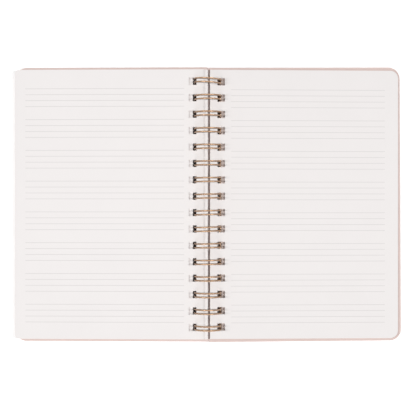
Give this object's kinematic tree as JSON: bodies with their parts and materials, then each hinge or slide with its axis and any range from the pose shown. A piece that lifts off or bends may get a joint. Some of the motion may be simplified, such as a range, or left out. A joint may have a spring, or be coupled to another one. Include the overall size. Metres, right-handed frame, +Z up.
{
  "type": "open spiral notebook",
  "caption": "Wire-bound A5 notebook lying open: ruled leaves fanned on a twin-loop wire, over stiff rounded covers that turn about the spine.",
  "frame": {"origin": "on the table, under the middle of the spine, which is the middle of the bounding box's underside", "axes": "+Y along the spine towards the head of the book, +X towards the fore-edge of the right-hand leaves, +Z up"},
  "size_m": [0.3023, 0.2147, 0.0217],
  "materials": {
    "leaves": "uncoated white writing paper with faint grey ruling",
    "cover_board": "blush-pink paper laminated on greyboard, matte",
    "wire": "rose-gold metallic lacquer on steel wire"
  },
  "bodies": {
    "back": {"back_cover": "cover_board", "wire_binding": "wire"},
    "front": {"front_cover": "cover_board"},
    "left_leaves": {"left_pages": "leaves"},
    "right_leaves": {"right_pages": "leaves"}
  },
  "joints": [
    {"name": "front_cover_turn", "type": "hinge", "parent": "back", "child": "front", "pos_m": [0, 0, 0.01085], "axis": [0, 1, 0], "range_deg": [0, 176.3]},
    {"name": "left_leaves_turn", "type": "hinge", "parent": "front", "child": "left_leaves", "pos_m": [0, 0, 0.01085], "axis": [0, 1, 0], "range_deg": [0, 176.3]},
    {"name": "right_leaves_turn", "type": "hinge", "parent": "back", "child": "right_leaves", "pos_m": [0, 0, 0.01085], "axis": [0, -1, 0], "range_deg": [0, 176.3]}
  ]
}
